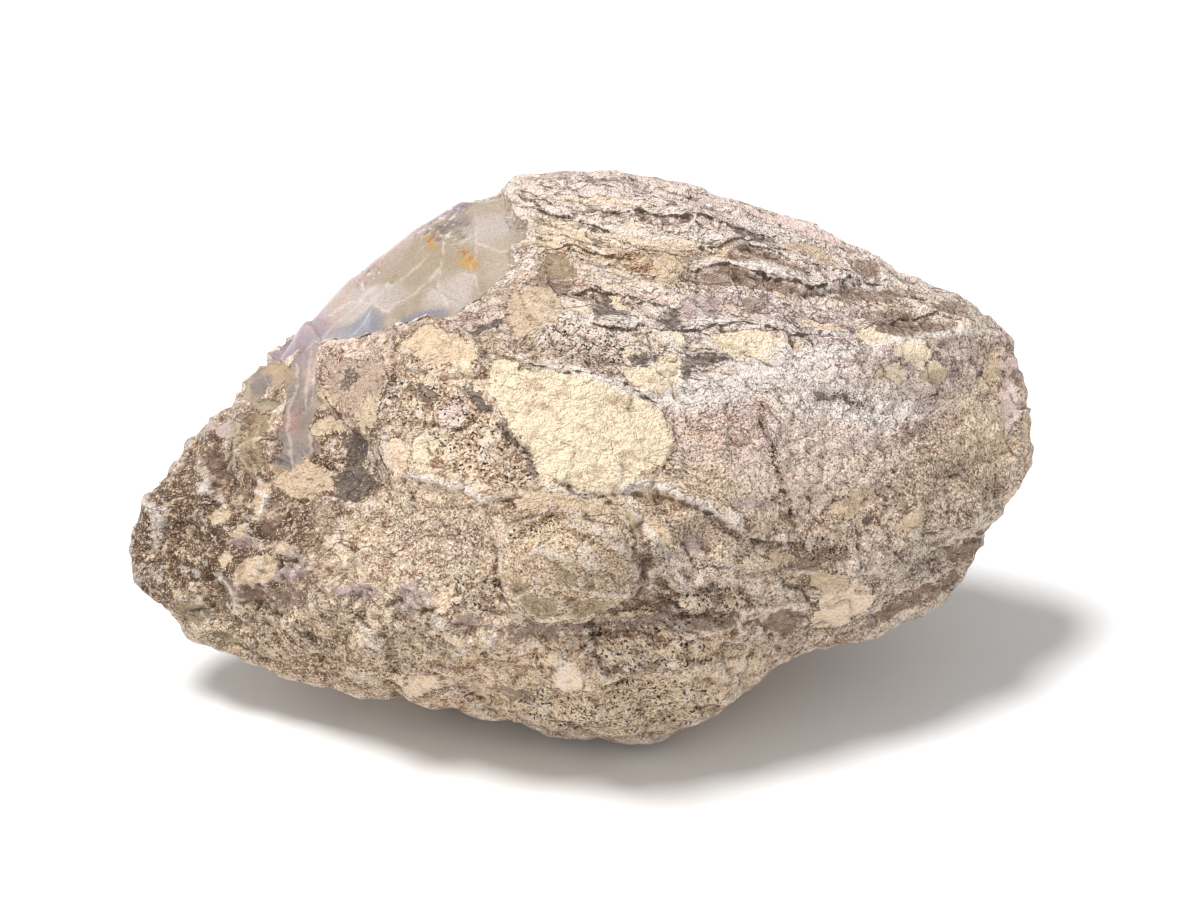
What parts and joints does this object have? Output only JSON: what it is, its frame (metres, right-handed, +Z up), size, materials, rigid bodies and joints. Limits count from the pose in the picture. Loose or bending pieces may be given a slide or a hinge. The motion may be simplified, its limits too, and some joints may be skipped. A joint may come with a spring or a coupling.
{
  "type": "amethyst agate specimen",
  "caption": "Rough lump of pale layered rock with a window of milky, faintly violet agate at its upper left, resting on a small flat spot.",
  "frame": {"origin": "on the ground plane, under the middle of the stone's box", "axes": "+X along the length, from the pointed left end to the blunt right end; +Y away from the front; +Z up"},
  "size_m": [0.193, 0.1175, 0.0995],
  "materials": {
    "stone": "rough, with a waxy agate window"
  },
  "bodies": {
    "root": {"agate_specimen": "stone"}
  },
  "joints": []
}
